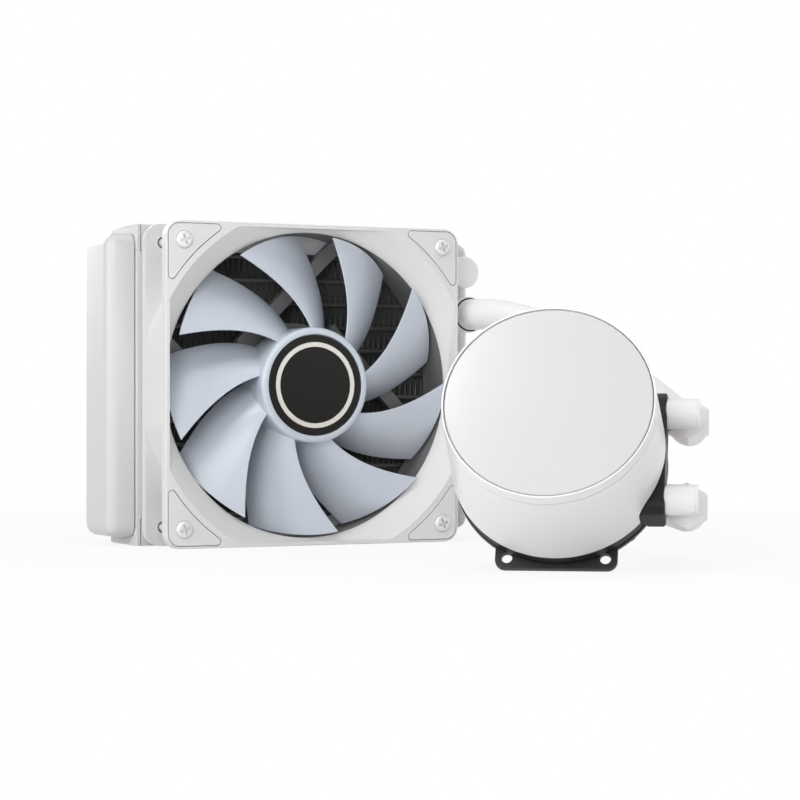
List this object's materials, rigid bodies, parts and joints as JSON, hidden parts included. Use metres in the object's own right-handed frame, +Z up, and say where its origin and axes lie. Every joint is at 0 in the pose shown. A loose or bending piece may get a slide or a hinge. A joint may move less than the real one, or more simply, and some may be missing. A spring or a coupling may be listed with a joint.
{
  "type": "closed liquid cooler for a processor",
  "caption": "White closed liquid cooler: radiator with a square fan on its front, joined by two thick hoses to a round pump that leans back on its bracket.",
  "frame": {"origin": "middle of the radiator's flat underside, on the surface that it stands on", "axes": "+Z up, +Y to the radiator's rear, +X to the right as one faces the fan from -Y"},
  "size_m": [0.1547, 0.2567, 0.119],
  "materials": {
    "white_plastic": "moulded, satin off-white",
    "white_gloss": "smooth glossy white",
    "white_paint": "powder coated, satin white",
    "white_rubber": "smooth satin white hose",
    "blade_plastic": "moulded, faintly blue translucent white",
    "black_plastic": "moulded, satin black",
    "black_steel": "black coated steel",
    "cream_ring": "satin cream",
    "screw_steel": "pale plated steel",
    "bright_steel": "ground steel",
    "motor_iron": "laminated iron",
    "fin_metal": "black coated aluminium",
    "bronze": "sintered bronze",
    "copper": "machined copper",
    "circuit_board": "green circuit board",
    "seal_rubber": "black rubber"
  },
  "bodies": {
    "root": {"bracket": "black_steel", "bracket_screw_1": "black_steel", "bracket_screw_2": "black_steel", "bracket_screw_3": "black_steel", "bracket_screw_4": "black_steel", "chamber_plate": "white_plastic", "chamber_seal": "seal_rubber", "cold_plate": "copper", "corner_pad_bottom_left": "white_plastic", "corner_pad_bottom_right": "white_plastic", "corner_pad_top_left": "white_plastic", "corner_pad_top_right": "white_plastic", "elbow_lower": "white_plastic", "elbow_upper": "white_plastic", "face_plate": "white_gloss", "fan_bearing": "bronze", "fan_board": "circuit_board", "fan_frame": "white_plastic", "fan_screw_bottom_left": "screw_steel", "fan_screw_bottom_right": "screw_steel", "fan_screw_top_left": "screw_steel", "fan_screw_top_right": "screw_steel", "fan_stator": "motor_iron", "fill_plug": "white_plastic", "fin_01": "fin_metal", "fin_02": "fin_metal", "fin_03": "fin_metal", "fin_04": "fin_metal", "fin_05": "fin_metal", "fin_06": "fin_metal", "fin_07": "fin_metal", "fin_08": "fin_metal", "fin_09": "fin_metal", "fin_10": "fin_metal", "fin_11": "fin_metal", "hose_lower": "white_rubber", "hose_upper": "white_rubber", "impeller_shaft": "bright_steel", "port_collar_lower": "white_plastic", "port_collar_upper": "white_plastic", "pump_board": "circuit_board", "pump_cover": "white_plastic", "pump_housing": "black_plastic", "pump_stator": "motor_iron", "radiator_core": "fin_metal", "side_plate_bottom": "white_paint", "side_plate_top": "white_paint", "tank_left": "white_paint", "tank_right": "white_paint"},
    "fan_rotor": {"fan_rotor": "blade_plastic", "hub_cap": "black_plastic", "hub_ring": "cream_ring", "fan_shaft": "bright_steel", "rotor_yoke": "motor_iron", "rotor_magnet": "motor_iron"},
    "pump_impeller": {"impeller": "white_plastic"}
  },
  "joints": [
    {"name": "fan_spin", "type": "hinge", "parent": "root", "child": "fan_rotor", "pos_m": [0, -0.0263, 0.0595], "axis": [0, -1, 0], "continuous": true},
    {"name": "impeller_spin", "type": "hinge", "parent": "root", "child": "pump_impeller", "pos_m": [0.01203, -0.1961, 0.03781], "axis": [-0.5138, -0.7206, 0.4655], "continuous": true}
  ]
}
